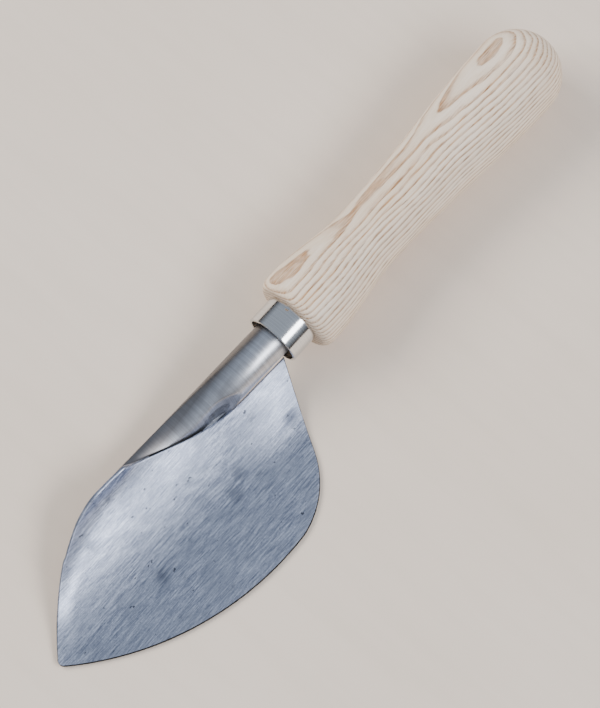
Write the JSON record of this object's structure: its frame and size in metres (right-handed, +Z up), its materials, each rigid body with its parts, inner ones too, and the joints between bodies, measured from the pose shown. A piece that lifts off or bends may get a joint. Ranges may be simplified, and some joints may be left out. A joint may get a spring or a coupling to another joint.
{
  "type": "hand scoop",
  "caption": "Hand scoop: a leaf-shaped steel blade with one curled side, welded onto a tube shank held by a polished ferrule in a turned ash handle.",
  "frame": {"origin": "on the table, under the middle of the tool's bounding box", "axes": "+X along the handle's axis from the blade's tip toward the handle's end; +Y toward the curled side of the blade; +Z up from the table the tool lies on"},
  "size_m": [0.2877, 0.071, 0.0341],
  "materials": {
    "blade_steel": "brushed along the blade, with fine scratches and small pits",
    "shank_steel": "sanded round the tube, with a darker oxide tint",
    "polished_steel": "polished, with fine turning marks",
    "ash": "sanded pale ash with tan growth rings, oiled"
  },
  "bodies": {
    "root": {"blade": "blade_steel", "shank": "shank_steel", "ferrule": "polished_steel", "handle": "ash"}
  },
  "joints": []
}
